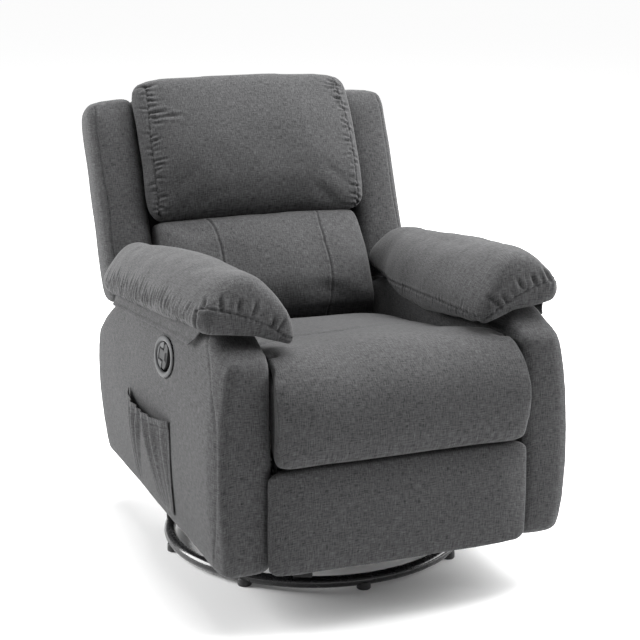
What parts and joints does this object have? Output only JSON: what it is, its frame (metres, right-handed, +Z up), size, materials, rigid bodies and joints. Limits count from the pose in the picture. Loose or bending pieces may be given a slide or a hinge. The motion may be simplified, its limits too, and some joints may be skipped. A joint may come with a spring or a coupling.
{
  "type": "swivel rocker recliner",
  "caption": "Fabric swivel rocker recliner: ring base, spring rocker, reclining winged back, fold-out footrest on a scissor linkage, pillow arms, side pocket and release handle.",
  "frame": {"origin": "on the floor, under the middle of the chair's outline", "axes": "+Z up, front towards -Y, the sitter's right-hand side towards -X, so the handle and pocket are at -X; left in a name means -X, the left of someone facing the chair"},
  "size_m": [0.8021, 1.0868, 0.9861],
  "materials": {
    "steel_black": "gloss",
    "steel_zinc": "satin",
    "spring_steel": "satin",
    "plywood": "matte",
    "plastic_black": "matte",
    "plastic_grey": "satin",
    "fabric_grey": "matte"
  },
  "bodies": {
    "swivel_base": {"base_ring": "steel_black", "cross_bars": "steel_black", "lower_race": "steel_zinc", "ball_ring": "steel_zinc", "king_bolt": "steel_zinc"},
    "rocker_base": {"rocker_plate": "steel_black", "rocker_rail_left": "steel_black", "rocker_rail_right": "steel_black", "rocker_spring_left_front": "spring_steel", "rocker_spring_left_rear": "spring_steel", "rocker_spring_right_front": "spring_steel", "rocker_spring_right_rear": "spring_steel"},
    "chair_body": {"cross_tube_front": "steel_black", "cross_tube_rear": "steel_black", "side_plate_left": "steel_zinc", "side_plate_right": "steel_zinc", "rocker_cam_left": "plastic_black", "rocker_cam_right": "plastic_black", "seat_rail_left": "plywood", "seat_rail_right": "plywood", "seat_rail_front": "plywood", "seat_rail_rear": "plywood", "seat_spring_1": "spring_steel", "seat_spring_2": "spring_steel", "seat_spring_3": "spring_steel", "seat_spring_4": "spring_steel", "seat_cushion": "fabric_grey", "arm_left": "fabric_grey", "arm_right": "fabric_grey", "arm_pillow_left": "fabric_grey", "arm_pillow_right": "fabric_grey", "arm_flap_left": "fabric_grey", "arm_flap_right": "fabric_grey", "handle_cup": "plastic_grey", "side_pocket": "fabric_grey"},
    "backrest": {"back_bracket_left": "steel_zinc", "back_bracket_right": "steel_zinc", "back_upright_left": "plywood", "back_upright_right": "plywood", "back_rail_top": "plywood", "back_rail_bottom": "plywood", "back_panel": "fabric_grey", "wing_left": "fabric_grey", "wing_right": "fabric_grey", "lumbar_cushion": "fabric_grey", "headrest_cushion": "fabric_grey"},
    "lift_linkage": {"lift_links": "steel_zinc"},
    "control_linkage": {"control_link_left": "steel_zinc", "control_link_right": "steel_zinc"},
    "knee_linkage": {"knee_plate_left": "steel_zinc", "knee_plate_right": "steel_zinc"},
    "extension_linkage": {"extension_links": "steel_zinc"},
    "steering_linkage": {"steering_link_left": "steel_zinc", "steering_link_right": "steel_zinc"},
    "footrest": {"footrest_board": "plywood", "footrest_pad": "fabric_grey", "footrest_bracket_left": "steel_zinc", "footrest_bracket_right": "steel_zinc"},
    "handle": {"handle_lever": "plastic_grey"}
  },
  "joints": [
    {"name": "swivel", "type": "hinge", "parent": "swivel_base", "child": "rocker_base", "pos_m": [0, -0.0327, 0.06], "axis": [0, 0, 1], "continuous": true},
    {"name": "rock", "type": "hinge", "parent": "rocker_base", "child": "chair_body", "pos_m": [0, -0.0327, 0.2053], "axis": [-1, 0, 0], "range_deg": [-5, 8], "stiffness_Nm_per_rad": 900, "deforming": ["rocker_spring_left_front", "rocker_spring_left_rear", "rocker_spring_right_front", "rocker_spring_right_rear"]},
    {"name": "recline", "type": "hinge", "parent": "chair_body", "child": "backrest", "pos_m": [0, 0.2173, 0.24], "axis": [-1, 0, 0], "range_deg": [0, 35]},
    {"name": "footrest_lift", "type": "hinge", "parent": "chair_body", "child": "lift_linkage", "pos_m": [0, -0.3477, 0.312], "axis": [-1, 0, 0], "range_deg": [0, 115]},
    {"name": "control_turn", "type": "hinge", "parent": "chair_body", "child": "control_linkage", "pos_m": [0, -0.3098, 0.2878], "axis": [-1, 0, 0], "range_deg": [0, 115.05]},
    {"name": "knee_turn", "type": "hinge", "parent": "lift_linkage", "child": "knee_linkage", "pos_m": [0, -0.2674, 0.1398], "axis": [-1, 0, 0], "range_deg": [-115.05, 0]},
    {"name": "extension_turn", "type": "hinge", "parent": "knee_linkage", "child": "extension_linkage", "pos_m": [0, -0.2674, 0.1398], "axis": [-1, 0, 0], "range_deg": [-27.97, 0]},
    {"name": "steering_turn", "type": "hinge", "parent": "knee_linkage", "child": "steering_linkage", "pos_m": [0, -0.2174, 0.1308], "axis": [-1, 0, 0], "range_deg": [-30.75, 0]},
    {"name": "footrest_turn", "type": "hinge", "parent": "extension_linkage", "child": "footrest", "pos_m": [0, -0.4397, 0.3], "axis": [-1, 0, 0], "range_deg": [0, 112.97]},
    {"name": "handle_pull", "type": "hinge", "parent": "chair_body", "child": "handle", "pos_m": [-0.37122, -0.1187, 0.48167], "axis": [-0.165, 0, -0.9863], "range_deg": [0, 35], "stiffness_Nm_per_rad": 1.5, "springref_deg": -2.86}
  ],
  "couplings": [
    {"joint": "control_turn", "follows": "footrest_lift", "ratio": 1},
    {"joint": "knee_turn", "follows": "footrest_lift", "ratio": -1},
    {"joint": "extension_turn", "follows": "footrest_lift", "ratio": -0.24275},
    {"joint": "steering_turn", "follows": "footrest_lift", "ratio": -0.26693},
    {"joint": "footrest_turn", "follows": "footrest_lift", "ratio": 0.98188}
  ]
}
